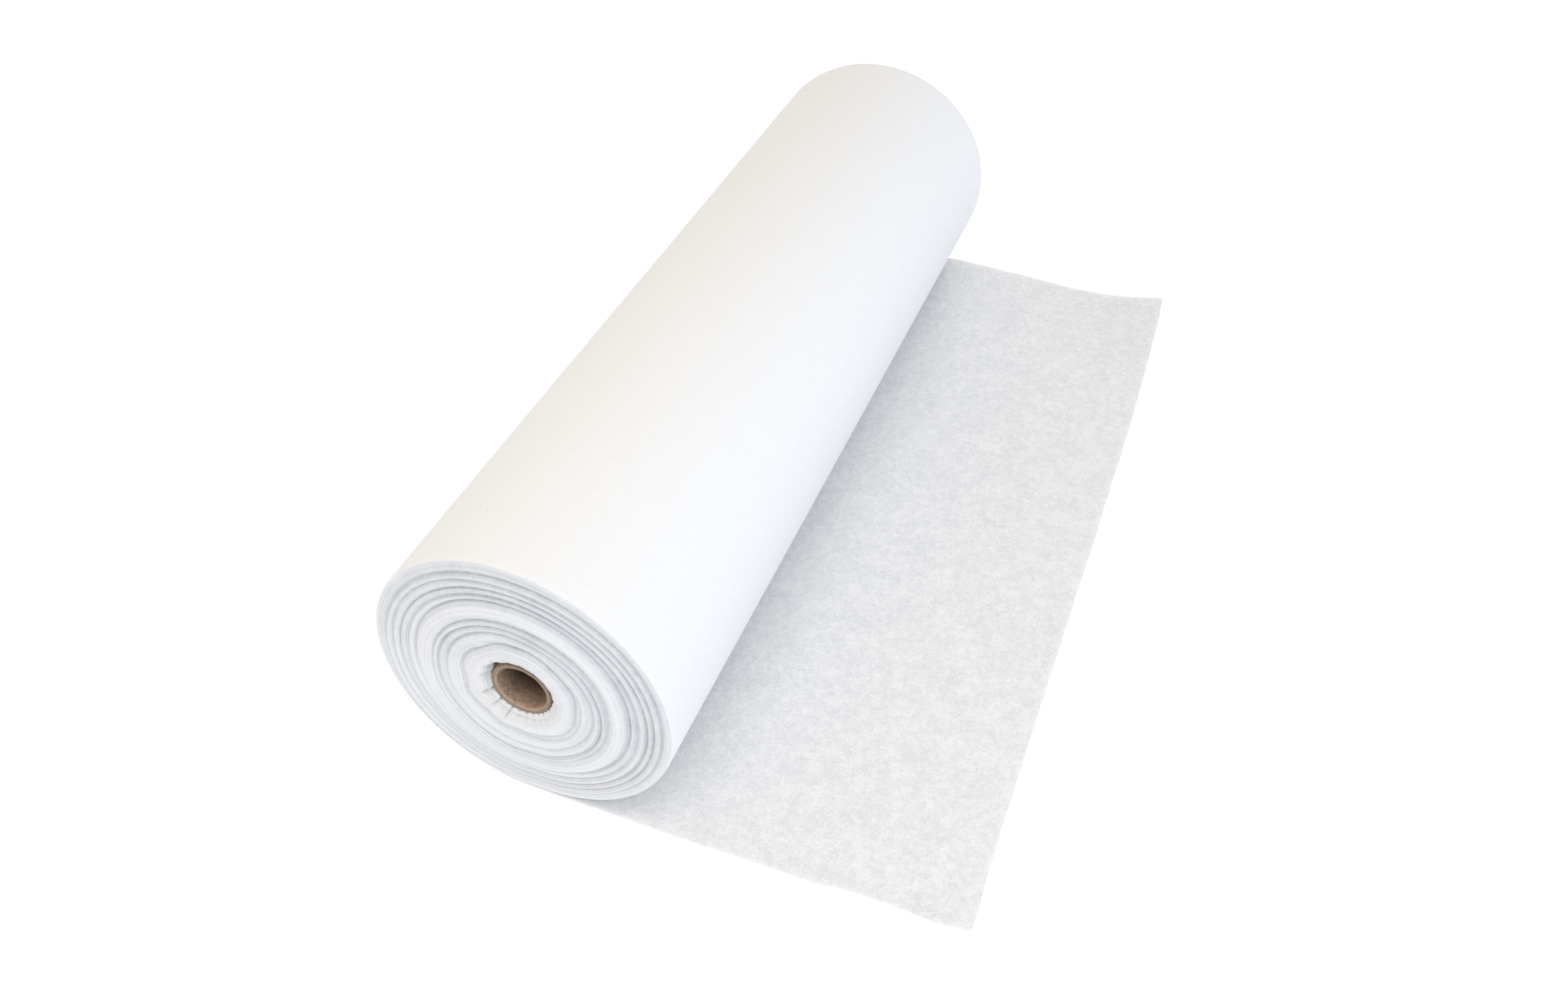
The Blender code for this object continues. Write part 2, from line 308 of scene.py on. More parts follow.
def bumpNormal(tree, height, distance, strength, under=None):
    return addNode(tree, "ShaderNodeBump", {"Height": height, "Distance": distance, "Strength": strength,
                                            "Normal": under}).outputs[0]


def newGroup(name, numbers, outputs):
    # it reads a place and plain numbers, and gives plain values
    group = bpy.data.node_groups.new(name, "ShaderNodeTree")
    group.interface.new_socket(name="Where", in_out="INPUT", socket_type="NodeSocketVector")
    for label, value in numbers.items():
        made = group.interface.new_socket(name=label, in_out="INPUT", socket_type="NodeSocketFloat")
        made.default_value = value
    for label in outputs:
        group.interface.new_socket(name=label, in_out="OUTPUT", socket_type="NodeSocketFloat")
    return group, group.nodes.new("NodeGroupInput").outputs, group.nodes.new("NodeGroupOutput")


def placeGroup(tree, group, where, *numbers):
    # the numbers stand in the order of the group's inputs
    return addNode(tree, "ShaderNodeGroup", dict(enumerate((where, *numbers))), node_tree=group).outputs


def newMaterial(name):
    material = bpy.data.materials.new(name)
    material.use_nodes = True
    tree = material.node_tree
    return material, tree, tree.nodes.new("ShaderNodeTexCoord").outputs["Object"]


def finishMaterial(material, colour, normal, roughness, sheen=0.0, specular=0.25, glow=0.0):
    tree = material.node_tree
    setInputs(tree, tree.nodes["Principled BSDF"], {
        "Base Color": colour, "Normal": normal, "Roughness": roughness, "Sheen Weight": sheen,
        "Specular IOR Level": specular, "Emission Strength": glow})
    return material


# the patterns in the fleece; noises are (scale, detail, roughness, distortion)

patternLook = {
    # runs of fibres: (stretch, turn, how fine they are)
    "runs": (((1, 1, 1), (0.3, 0.2, 0.7), 1.0), ((0.35, 1.3, 0.8), (0.42, 0.2, 0.98), 1.4),
             ((1.3, 0.4, 1.0), (0.375, 0.2, 0.875), 1.25)),
    "runNoise": (1, 0.5, 0.6),
    "grain": (3.1, 2, 0.6),
    # blotches: (how fine they are, weight, then their noise)
    "blotches": ((0.33, 0.22, 2, 0.5, 0), (1, 0.4, 3, 0.6, 0.4), (3.3, 0.38, 2, 0.6, 0.3)),
    "contrast": 4.0,
}


def makeFibreGroup():
    # thin crossing fibres, from the level lines of bent noises
    group, given, made = newGroup("pressedFibres", {"Scale": 300.0, "Thinness": 9.0}, ("Height", "Grain"))
    top = 0.0
    for stretch, turned, size in patternLook["runs"]:
        run = addNode(group, "ShaderNodeMapping",
                      {"Vector": given["Where"], "Scale": stretch, "Rotation": turned}).outputs[0]
        field = noise(group, run, times(group, given["Scale"], size), *patternLook["runNoise"])
        away = maths(group, "ABSOLUTE", minus(group, field, 0.5))
        line = maths(group, "SUBTRACT", 1.0, times(group, away, given["Thinness"]), clamp=True)
        top = maths(group, "MAXIMUM", line, top)
    finer, *kind = patternLook["grain"]
    grain = noise(group, given["Where"], times(group, given["Scale"], finer), *kind)
    setInputs(group, made, {"Height": top, "Grain": grain})
    return group


def makeCloudGroup():
    # the uneven thickness of the web: blotches of three sizes
    group, given, made = newGroup("webClouds", {"Scale": 60.0, "Contrast": 1.0}, ("Cloud",))
    total = -0.5
    for finer, weight, *kind in patternLook["blotches"]:
        blotch = noise(group, given["Where"], times(group, given["Scale"], finer), *kind)
        total = maths(group, "ADD", times(group, blotch, weight), total)
    spread = times(group, total, times(group, given["Contrast"], patternLook["contrast"]))
    setInputs(group, made, {"Cloud": maths(group, "ADD", spread, 0.5, clamp=True)})
    return group


def makeSpeckGroup():
    # sparse flecks, each in its own cell
    group, given, made = newGroup("strayFlecks", {"Scale": 60.0, "Size": 0.08, "Share": 0.1}, ("Mask",))
    cells = addNode(group, "ShaderNodeTexVoronoi",
                    {"Vector": given["Where"], "Scale": given["Scale"]}).outputs
    inside = maths(group, "LESS_THAN", cells["Distance"], given["Size"])
    drawn = addNode(group, "ShaderNodeSeparateColor", {"Color": cells["Color"]}).outputs[0]
    chosen = maths(group, "LESS_THAN", drawn, given["Share"])
    setInputs(group, made, {"Mask": times(group, inside, chosen)})
    return group


fibreGroup, cloudGroup, speckGroup = makeFibreGroup(), makeCloudGroup(), makeSpeckGroup()

darkFleck, paleFleck = (0.30, 0.29, 0.28), (0.97, 0.97, 0.97)
fleeceLook = {
    # fibres: (scale, thinness), clouds: (scale, contrast), darkening: where the web is thinnest and
    # thickest, flecks: (scale, size, share) with their strength and colour, reliefs: (depth, strength),
    # surfaces: (roughness, sheen, shine, glow)
    "fleeceOutside": {
        "colour": (0.835, 0.83, 0.82), "darker": (0.785, 0.78, 0.77), "clouds": (90, 0.8),
        "darkening": (0.35, 0), "fibres": (420, 8), "relief": (0.12 * mm, 0.3),
        "flecks": (((45, 0.03, 0.02), 1.0, darkFleck),), "dimples": (260, 1, 0.4),
        "dimpleRange": (0.35, 0.62), "dimpleRelief": (0.6 * mm, 0.35), "surface": (0.92, 0.12),
    },
    "fleeceInside": {
        "colour": (0.90, 0.895, 0.895), "darker": (0.70, 0.71, 0.73), "clouds": (120, 1.2),
        "darkening": (1, 0), "cloudRelief": (0.6 * mm, 0.5), "fibres": (380, 9), "relief": (0.2 * mm, 0.5),
        "fibreShare": 0.35, "grain": (0.35, 0.65, 0, 0.22), "grainColour": (0.5, 0.51, 0.53),
        "flecks": (((70, 0.07, 0.06), 0.7, paleFleck), ((52, 0.04, 0.04), 0.35, darkFleck)),
        "patches": (220, 2), "patchRange": (0.3, 0.6, 0.2, 1), "surface": (0.95, 0.12),
    },
    # cut edges, brushed up
    "fleeceEdge": {
        "colour": (0.90, 0.92, 0.95), "fibres": (700, 6), "relief": (0.3 * mm, 0.7),
        "grain": (0.3, 0.7, 0, 0.3), "grainColour": (0.78, 0.81, 0.86), "surface": (0.95, 0.2),
    },
    # the ends of the turns, with painted shade in the grooves and creases: darker is the shade's colour
    "fleeceWound": {
        "colour": (0.81, 0.825, 0.85), "darker": (0.43, 0.46, 0.50), "clouds": (90, 1), "darkening": (1, 0.5),
        "warm": (0.75, 0.74, 0.71), "fibres": (500, 7), "relief": (0.3 * mm, 0.5),
        "grain": (0.35, 0.7, 0, 0.18), "grainColour": (0.62, 0.65, 0.70), "surface": (0.95, 0.12),
    },
}


def makeFleece(name):
    # what a look doesn't name is left out
    look = fleeceLook[name]
    material, tree, where = newMaterial(name)
    fibres = placeGroup(tree, fibreGroup, where, *look["fibres"])
    colour, under = look["colour"], None
    if "clouds" in look:
        cloud = placeGroup(tree, cloudGroup, where, *look["clouds"])["Cloud"]
        darker = remap(tree, cloud, 0, 1, *look["darkening"])
        # for the turn ends the clouds only vary how strong the painted shade is
        if "warm" in look:
            darker = times(tree, darker, readValues(tree, "shadeAndStreaks"))
        colour = mixColours(tree, darker, colour, look["darker"])
    if "warm" in look:
        colour = mixColours(tree, readValues(tree, "warm"), colour, look["warm"])
    if "fibreShare" in look:
        colour = mixColours(tree, times(tree, fibres["Height"], look["fibreShare"]), colour, look["colour"])
    if "grain" in look:
        colour = mixColours(tree, remap(tree, fibres["Grain"], *look["grain"]), colour, look["grainColour"])
    for kind, strength, tone in look.get("flecks", ()):
        mask = placeGroup(tree, speckGroup, where, *kind)["Mask"]
        colour = mixColours(tree, times(tree, mask, strength), colour, tone)
    if "patches" in look:
        # torn fibres make the border paler
        patchy = remap(tree, noise(tree, where, *look["patches"]), *look["patchRange"])
        colour = mixColours(tree, times(tree, readValues(tree, "border"), patchy), colour, paleFleck)
        under = bumpNormal(tree, cloud, *look["cloudRelief"])
    if "dimples" in look:
        dimples = remap(tree, noise(tree, where, *look["dimples"]), *look["dimpleRange"])
        under = bumpNormal(tree, dimples, *look["dimpleRelief"])
    under = bumpNormal(tree, fibres["Height"], *look["relief"], under)
    return finishMaterial(material, colour, under, *look["surface"])


outsideMaterial, insideMaterial, edgeMaterial, woundMaterial = [makeFleece(name) for name in fleeceLook]
print("fleece materials made")

# the wound turns; places on the end are shares of the radius

endLook = {
    "columns": 240,  # steps round the near end
    "farColumns": 120,
    "rows": (0.0, 0.3, 0.75),  # across one turn: the gap, and two lines on the turn's edge
    "farRows": (0.0, 0.5),
    "creaseDepth": 3.0 * mm,
    "creaseReach": 0.014,
    "lipPower": 0.8,
    "edgeWander": 0.11 * mm,  # how unevenly the edges of the turns line up
    "wanderSpacing": 60,  # in steps round the end
    "grooveDepth": 0.06 * mm,  # the gaps between all turns
    "lineDepth": 0.42 * mm,  # and those that show as lines
    "lineSpacing": 130,
    "lineShare": (0.4, 0.5),  # how many show: mean and spread
    "lineShade": 0.5,  # how much painted shade darkens them
    "coreCrest": 0.65,  # where the innermost bundle stands out most, across it
    "crestPower": 0.6,
    "coreFall": 3.9 * mm,  # the innermost turns lean back to the core
    "recessReach": 0.06,
    "kinkReach": 0.02,  # the sharpest folds reach past the innermost crease
    "strayReach": 0.045,
    "ruffle": 0.018,  # how far the turns round the core wave across the end
    "ruffleMiddle": 0.5,
    "waveMiddle": 0.6,  # and in and out
    "waveFade": 1.4,
    "creaseShade": 0.56,  # how much painted shade greys the ends of the turns in the creases
    # painted shade laid on all turns but the palest lower ones
    "baseShade": 0.16,
    "leastBandShade": 0.2,  # what is left of the bands' painted shade where no crease shows
    # where the painted shade is weak, the base shade is taken off the turns too, leaving them palest
    "paleStrength": 0.6,  # below this strength of the creases the turns are the palest,
    "paleFrom": 0.38,  # from here outwards
    "paleReach": 0.1,
    "streakTone": 0.12,  # each turn is a little lighter or greyer than the next
    "streakSpacing": 75,
    "calmFrom": 0.4,  # inside this it is half as much
    "calmReach": 0.05,
    "warmFrom": 0.36,  # below the core the turns are warmer
    "warmReach": 0.12,
    "warmTone": 0.5,
    "warmBelow": 0.8,  # how fast that ends towards the top
    # soft swells: (times round the end, times across it, start, mm)
    "swells": ((1, 17, 0.4, 0.10), (2, 23, 2.1, 0.09), (3, 29, 4.0, 0.08), (5, 13, 1.2, 0.08),
               (4, 37, 5.1, 0.05)),
    "farCrease": 1.2 * mm,
    "farCrest": 1.0 * mm,
    "farLipPower": 0.4,
    # between the two ends: places along as shares of the width, how much painted shade the bore and the
    # outermost turn get there, and what is left of the folds at the bore's first place
    "between": (0.03, 0.2, 0.4, 0.6, 0.8, 0.97),
    "boreShade": 0.6,
    "outerShade": 0.1,
    "foldsLeft": 0.15,
    # how clearly the lines between turns show: (place, share)
    "lineStrength": ((0.2, 1.0), (0.36, 0.9), (0.41, 0.6), (0.6, 0.55), (0.92, 0.6), (0.955, 0.85),
                     (0.985, 0.7), (1.0, 0.1)),
    # how much painted shade greys the ends of the turns between creases: (place, share)
    "bandShade": ((0.2, 0.24), (0.30, 0.12), (0.36, 0.08), (0.42, 0.20), (0.50, 0.20), (0.57, 0.24),
                 (0.61, 0.14), (0.66, 0.0), (0.70, 0.06), (0.76, 0.21), (0.86, 0.21), (0.94, 0.17),
                 (0.985, 0.10), (1.0, 0.0)),
    # how strongly the painted shade shows round the end, strongest at the top: (degrees clockwise from the
    # top, share)
    "shadeStrength": ((0, 1.0), (60, 1.0), (110, 0.8), (150, 0.3), (200, 0.05), (250, 0.2), (300, 0.65),
                       (360, 1.0)),
}


def swellAt(share, turn):
    total = 0
    for around, across, start, size in endLook["swells"]:
        total = total + size * np.cos(around * turn + across * 2 * pi * share + start)
    return total * mm


def nearRelief(share):
    # how far the near end stands out of its plane, and how deep in a crease a point is
    creases = meanCreases[[0] + list(range(2, len(meanCreases)))]
    crests = [0.0] + [row[creaseAngles] * mm for row in bundles]
    bases = [0.0] + [min(pair) - endLook["creaseDepth"] for pair in zip(crests, crests[1:])]
    bases.append(crests[-1] - endLook["coreFall"])
    out, crease = np.zeros_like(share), np.zeros_like(share)
    for index, crest in enumerate(crests):
        outer, inner = creases[index], creases[index + 1]
        isLast = index == len(crests) - 1
        within = (share <= outer) & (share > inner)
        across = shareOf(share, outer, inner)
        if index == 0:
            across = 0.5 + across / 2
        lip = np.sin(pi * across) ** endLook["lipPower"]
        if isLast:
            top = endLook["coreCrest"]
            rising = np.sin(pi / 2 * shareOf(across, 0, top)) ** endLook["crestPower"]
            falling = np.cos(pi / 2 * shareOf(across, top, 1))
            lip = np.where(across < top, rising, falling)
        base = bases[index] + (bases[index + 1] - bases[index]) * across
        out = np.where(within, base + (crest - base) * lip, out)
        fromCrease = np.minimum(outer - share if index else 1, 1 if isLast else share - inner)
        crease = np.where(within, np.exp(-np.maximum(fromCrease, 0) / endLook["creaseReach"]), crease)
    return np.where(share <= creases[-1], bases[-1], out), crease


def farRelief(share):
    edges = (1.0, *farCreases, holeShare)
    out, crease = np.zeros_like(share), np.zeros_like(share)
    for outer, inner in zip(edges, edges[1:]):
        within = (share <= outer) & (share > inner)
        across = shareOf(share, outer, inner)
        lip = np.sin(pi * across) ** endLook["farLipPower"]
        height = (endLook["farCrest"] + endLook["farCrease"]) * lip - endLook["farCrease"]
        out, crease = np.where(within, height, out), np.where(within, 1 - lip, crease)
    return out, crease


def puckerAt(turn):
    # how far the turns stand away from the core, how fast that fades, and 1 between two folds
    folds = np.array(puckers, float)
    degrees = np.mod(np.degrees(turn) - folds[0, 0], 360) + folds[0, 0]
    low = np.clip(np.searchsorted(folds[:, 0], degrees, side="right") - 1, 0, len(folds) - 2)
    share = shareOf(degrees, folds[low, 0], folds[low + 1, 0])
    nearest = np.where(share < 0.5, low, low + 1)
    point = np.abs(2 * share - 1) ** folds[nearest, 3]
    halfway = folds[low, 2]
    fading = folds[low, 4] + (folds[low + 1, 4] - folds[low, 4]) * ease(share)
    return (halfway + (folds[nearest, 1] - halfway) * point) * mm, fading, 1 - point


def foldedNear(share, turn, relief):
    # the near end's creases and folds laid where the photo shows them: new places, new relief
    look = endLook
    placed = share.copy()
    degrees = degreesOf(turn)
    for column in range(share.shape[1]):
        placed[:, column] = np.interp(share[:, column], meanCreases[::-1],
                                      creasesAt(turn[0, column, 0])[::-1])
    beside = np.exp(-((share - meanCreases[-2]) / look["strayReach"]) ** 2)
    placed += readTable(strays, degrees) / 1000 * beside
    lifted, fading, bulge = puckerAt(turn)
    fade = shareOf(share, meanCreases[-2] + look["kinkReach"], holeShare)
    placed += lifted / roll["radiusX"] * fade ** fading
    wavy = readTable(waves, degrees)
    relief = relief + wavy * mm * (bulge - look["waveMiddle"]) * ease(fade * look["waveFade"])
    placed -= look["ruffle"] * wavy * (bulge - look["ruffleMiddle"]) * np.sin(pi * fade) ** 2
    inside = shareOf(share, holeShare + look["recessReach"], holeShare)
    return placed, relief - np.maximum(readTable(recesses, degrees), 0) * mm * ease(inside)


def nearShadeAndStreaks(shadeAndStreaks, share, turn, along):
    look = endLook
    # painted shade in the creases and bands, strongest at the top, then each turn's own streak of tone
    strength = readTable(look["shadeStrength"], degreesOf(turn))
    shadeAndStreaks = shadeAndStreaks * strength
    shadeAndStreaks += readTable(look["bandShade"], share) * (look["leastBandShade"] + (1 - look["leastBandShade"]) * strength)
    # the lower turns get the least painted shade, so they are the palest
    paler = 1 - shareOf(strength, 0, look["paleStrength"])
    shadeAndStreaks += look["baseShade"] * (1 - paler * ease((share - look["paleFrom"]) / look["paleReach"]))
    streaks = wander(along, look["streakSpacing"], look["streakTone"], seeds["streaks"])
    return shadeAndStreaks + streaks[..., None] * (1 - 0.5 * ease((look["calmFrom"] - share) / look["calmReach"]))


def spiralEnd(columns, rows, isNear):
    # rows of every turn, then the outer ring: index (step, row) = step * len(rows) + row
    look, turns, count = endLook, roll["turns"], len(rows)
    turnOf = roll["nipTurn"] - 2 * pi * (np.arange(columns) / columns)
    wound = np.arange(turns + 2)[:, None, None] + rows + (np.arange(columns) / columns)[None, :, None]
    nominal = roll["holeRadius"] + roll["pitch"] * wound
    share = nominal / roll["radiusX"]
    turn = np.broadcast_to(turnOf[None, :, None], share.shape)
    along = np.arange((turns + 2) * columns, dtype=float).reshape(turns + 2, columns)
    stretch = columns / look["columns"]
    drift = wander(along, look["wanderSpacing"] * stretch, look["edgeWander"],
                   seeds["nearEnd" if isNear else "farEnd"])
    back = np.clip(roll["rimRound"] - (roll["radiusX"] - nominal), 0, roll["rimRound"])
    rounded = roll["rimRound"] - np.sqrt(roll["rimRound"] ** 2 - back ** 2)
    relief, crease = nearRelief(share) if isNear else farRelief(share)
    placed, relief = foldedNear(share, turn, relief) if isNear else (share, relief)
    own = relief - rounded + drift[..., None] + swellAt(share, turn)
    mean, spread = look["lineShare"]
    lines = ease(mean + spread * wander(along, look["lineSpacing"] * stretch, 1.0, seeds["lines"]))
    lines = lines * np.clip(readTable(look["lineStrength"], share[..., 0]), 0, 1)
    # the gap before each turn lies behind the edges on both sides of it
    own[1:, :, 0] = np.minimum(own[1:, :, 0], own[:-1, :, -1])
    own[..., 0] -= look["grooveDepth"] + look["lineDepth"] * lines ** 2
    points = woundPlace(placed, turn, -own if isNear else roll["width"] + own)
    # painted shade in the creases, then in the lines between turns
    shadeAndStreaks = crease * look["creaseShade"]
    if isNear:
        shadeAndStreaks = nearShadeAndStreaks(shadeAndStreaks, share, turn, along)
    shadeAndStreaks[..., 0] += look["lineShade"] * lines ** 1.5
    below = np.clip(1 - look["warmBelow"] * (1 + np.cos(turn)), 0, 1)
    warm = ease((look["warmFrom"] - share) / look["warmReach"]) * below * look["warmTone"]
    # keep the steps of the spiral, and one outer ring that holds gaps only
    last = turns * columns
    ringAt = last * count
    kept = []
    for values in (points, np.clip(shadeAndStreaks, 0, 1), warm):
        values = values.reshape((turns + 2) * columns, count, -1)
        kept.append(np.concatenate([values[:last].reshape(ringAt, -1), values[last:last + columns + 1, 0],
                                    values[last, 1:]]))
    endRows = [ringAt] + [ringAt + columns + 1 + row for row in range(count - 1)] + [ringAt + columns]

    def at(step, row):
        if row == count:
            step, row = step + columns, 0
        if step < last:
            return step * count + row
        return endRows[row] if step == last else ringAt + step - last

    def loopFrom(first):
        # once round, cell by cell of the far end's columns, then across one turn
        perCell = columns // look["farColumns"]
        cells = [[at(first + cell * perCell + k, 0) for k in range(perCell + 1)]
                 for cell in range(look["farColumns"])]
        return cells + [[at(first, row) for row in range(count, -1, -1)]]

    faces = [(at(step, row), at(step + 1, row), at(step + 1, row + 1), at(step, row + 1))
             for step in range(last) for row in range(count)]
    return kept, faces, loopFrom(0), loopFrom(last)


def makeWound():
    nearKept, faces, *nearLoops = spiralEnd(endLook["columns"], endLook["rows"], True)
    farKept, farFaces, *farLoops = spiralEnd(endLook["farColumns"], endLook["farRows"], False)
    points, shadeAndStreaks, warm = [[part] for part in nearKept]
    start = len(nearKept[0])
    columns = endLook["farColumns"]
    turn = roll["nipTurn"] - 2 * pi * np.arange(columns + 1) / columns
    chains = []
    for isBore, last in zip((True, False), nearLoops):
        nominal = roll["holeRadius"] + (0 if isBore else roll["pitch"] * roll["turns"])
        share = (nominal + roll["pitch"] * np.arange(columns + 1) / columns) / roll["radiusX"]
        for place in endLook["between"]:
            pushed = share
            if isBore and place == endLook["between"][0]:
                pushed = share + puckerAt(turn)[0] / roll["radiusX"] * endLook["foldsLeft"]
            points.append(woundPlace(pushed, turn, np.full(columns + 1, place * roll["width"])))
            # painted shade on the bore's wall and on the outermost turn
            shadeAndStreaks.append(np.full((columns + 1, 1), endLook["boreShade" if isBore else "outerShade"]))
            warm.append(np.zeros((columns + 1, 1)))
            ring = [[start + cell, start + cell + 1] for cell in range(columns)] + [[start + columns, start]]
            faces.extend(tuple(a + b[::-1]) for a, b in zip(last, ring))
            last = ring
            start += columns + 1
        chains.append(last)
    for part, kept in zip((points, shadeAndStreaks, warm), farKept):
        part.append(kept)
    faces.extend(tuple(index + start for index in face) for face in farFaces)
    for ring, loop in zip(chains, farLoops):
        faces.extend(tuple(a + [index + start for index in b][::-1]) for a, b in zip(ring, loop))
    piece = newPiece("wound_fleece", np.concatenate(points), faces, [woundMaterial])
    addValues(piece, "shadeAndStreaks", np.concatenate(shadeAndStreaks))
    addValues(piece, "warm", np.concatenate(warm))
    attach(piece, "root")
    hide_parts("fleece_roll")
    print("wound turns made,", len(faces), "faces")


makeWound()

# the web: the outer turn and the loose end, one sheet

webLook = {
    "turnColumns": 150,
    "looseColumns": 150,
    "rows": 126,
    "firstRow": 0.015,  # where the even rows start, as a share of the width
    "woundThickness": 1.1 * mm,
    "looseThickness": 2.0 * mm,
    "thickenOver": 45 * mm,
    "leaveX": 18 * mm,
    "reach": 410 * mm,
    "liftFrom": 0.60,
    "liftPower": 1.7,
    "edgeWobble": 0.35 * mm,
    "nearWobbleSpacing": 6 * mm,
    "cutWobbleSpacing": 9 * mm,
    # each edge's place inside the roll's ends in mm, by share of the outer turn
    "nearSetBack": ((0, 1.5), (0.25, 1.6), (0.5, 1.4), (0.75, 1.0), (0.9, 0.5), (1.0, -0.4)),
    "farSetBack": ((0, 1.8), (0.3, 2.0), (0.6, 1.7), (0.85, 1.0), (1.0, 0.0)),
    "turnLength": 0.9,  # of the outer turn, for its wobble
    "turnWobble": 0.15 * mm,
    "turnWobbleSpacing": 20 * mm,
    # the rows nearest to each edge, in mm from it, and how far the wound edge turns inwards
    "edgeRows": (0, 0.7, 1.5, 2.4, 3.5, 5, 7, 10),
    "edgeDrop": 0.9 * mm,
    "edgeDropReach": 5 * mm,
    "edgeDropUntil": 0.1,  # share of the outer turn over which it ends, where the web leaves
    "borderSwell": 0.35 * mm,  # how far the border's middle line stands out
    "borderWobble": 0.12 * mm,
    "borderSpacing": 1.7,  # in points
    "borderPale": 0.5,
    "borderReach": 2.2 * mm,
    "farBorderReach": 3.6 * mm,
    # (x from the roll's axis, how high the far edge is lifted there), in mm
    "farEdgeLift": ((18, 0), (36, 0), (70, 8), (105, 17.4), (150, 16.8), (205, 14.2), (245, 11.2),
                    (285, 8.9), (325, 8.7), (350, 11.2), (375, 15.6), (398, 18.9), (410, 19.6)),
    # (y, how far the cut edge stops short of the reach), in mm
    "cutEdgeBow": ((0, 0), (120, 1.4), (300, 0.9), (560, 0), (760, 0.4), (850, 1.9), (920, 3.4),
                   (968, 5.6), (998, 8.2)),
    # (x, how far the near edge stands towards the viewer), in mm
    "nearEdgeWave": ((18, 0.8), (130, 2.4), (240, 2.9), (268, 3.4), (295, 0.8), (320, 0.2), (347, 0.7),
                     (373, 2.9), (410, 0.6)),
}


def loosePlace(across, along):
    look = webLook
    nominalX = look["leaveX"] + (look["reach"] - look["leaveX"]) * across
    wobble = wander(nominalX, look["nearWobbleSpacing"], look["edgeWobble"], seeds["nearEdge"])
    nearEdge = wobble * (across > 0) - readTable(look["nearEdgeWave"], nominalX / mm) * mm
    y = nearEdge + (roll["width"] - nearEdge) * along
    reach = look["reach"] - readTable(look["cutEdgeBow"], y / mm) * mm
    reach = reach + wander(np.maximum(y, 0), look["cutWobbleSpacing"], look["edgeWobble"], seeds["cutEdge"])
    x = look["leaveX"] + (reach - look["leaveX"]) * across
    lifted = shareOf(along, look["liftFrom"], 1) ** look["liftPower"]
    z = np.maximum(readTable(look["farEdgeLift"], x / mm), 0) * mm * lifted
    return np.stack([x + roll["axisX"], y + roll["nearY"], z], axis=-1)


def makeWeb():
    look = webLook
    edgeRows = np.array(look["edgeRows"]) * mm / roll["width"]
    evenRows = np.linspace(look["firstRow"], 1 - look["firstRow"], look["rows"])
    rows = np.concatenate([edgeRows, evenRows, 1 - edgeRows[::-1]])
    # the outer turn
    progress = np.linspace(0, 1, look["turnColumns"] + 1)[:, None]
    wobble = wander(progress * look["turnLength"], look["turnWobbleSpacing"], look["turnWobble"],
                    seeds["turnEdge"])
    nearSide = readTable(look["nearSetBack"], progress) * mm + wobble
    farSide = roll["width"] - readTable(look["farSetBack"], progress) * mm
    along = nearSide + (farSide - nearSide) * rows[None, :]
    fromEdge = np.minimum(along - nearSide, farSide - along)
    drop = look["edgeDrop"] * shareOf(fromEdge, look["edgeDropReach"], 0) ** 2
    drop = drop * ease(shareOf(progress, 1, 1 - look["edgeDropUntil"]))
    radius = roll["radiusX"] - roll["pitch"] * (1 - progress) - drop
    turn = np.broadcast_to(roll["nipTurn"] - 2 * pi * progress, along.shape)
    below = woundPlace(radius / roll["radiusX"], turn, along)
    above = woundPlace((radius - look["woundThickness"]) / roll["radiusX"], turn, along)
    # the loose end
    across = np.linspace(0, 1, look["looseColumns"] + 1)[1:, None]
    looseBelow = loosePlace(*np.broadcast_arrays(across, rows[None, :]))
    looseAbove = looseBelow.copy()
    further = looseBelow[..., 0] - roll["axisX"] - look["leaveX"]
    thicker = (look["looseThickness"] - look["woundThickness"]) * ease(further / look["thickenOver"])
    looseAbove[..., 2] += look["woundThickness"] + thicker
    outside = np.concatenate([below, looseBelow])
    length, width = outside.shape[:2]
    size = length * width
    index = np.arange(size).reshape(length, width)
    quads = np.stack([index[:-1, :-1], index[1:, :-1], index[1:, 1:], index[:-1, 1:]], axis=-1).reshape(-1, 4)
    # a soft middle line round the border, a little outside it
    flat = np.concatenate([outside.reshape(-1, 3), np.concatenate([above, looseAbove]).reshape(-1, 3)])
    border = np.concatenate([index[:, 0], index[-1, 1:], index[-2::-1, -1], index[0, -2:0:-1]])
    inner = np.concatenate([index[:, 1], index[-2, 1:], index[-2::-1, -2], index[1, -2:0:-1]])
    outward = flat[border] - flat[inner]
    outward /= np.maximum(np.linalg.norm(outward, axis=1, keepdims=True), 1e-9)
    wobble = wander(np.arange(len(border)), look["borderSpacing"], look["borderWobble"], seeds["border"])
    middle = (flat[border] + flat[border + size]) / 2 + outward * (look["borderSwell"] + wobble[:, None])
    line = 2 * size + np.arange(len(border))
    nextLine, nextBorder = np.roll(line, -1), np.roll(border, -1)
    rim = np.stack([border, nextBorder, nextLine, line, line, nextLine, nextBorder + size, border + size],
                   axis=-1).reshape(-1, 4)
    faces = np.concatenate([quads, quads[:, ::-1] + size, rim])
    finishes = np.repeat([0, 1, 2], [len(quads), len(quads), len(rim)])
    piece = newPiece("fleece_web", np.concatenate([flat, middle]), faces.tolist(),
                     [outsideMaterial, insideMaterial, edgeMaterial], finishes.tolist())
    # torn borders, strongest along the far edge
    fromSide = np.minimum(rows, 1 - rows)[None, :] * roll["width"]
    fromCut = np.arange(length)[::-1, None] * (look["reach"] - look["leaveX"]) / look["looseColumns"]
    paler = look["borderPale"] * np.exp(-np.minimum(fromSide, fromCut) / look["borderReach"])
    paler = np.maximum(paler, np.exp(-(1 - rows) * roll["width"] / look["farBorderReach"])).ravel()
    addValues(piece, "border", np.concatenate([paler, paler, np.full(len(middle), look["borderPale"])]))
    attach(piece, "root")
    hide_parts("loose_end", "fleece_roll")
    print("web made,", len(faces), "faces")
    return piece


web = makeWeb()

# the cardboard core

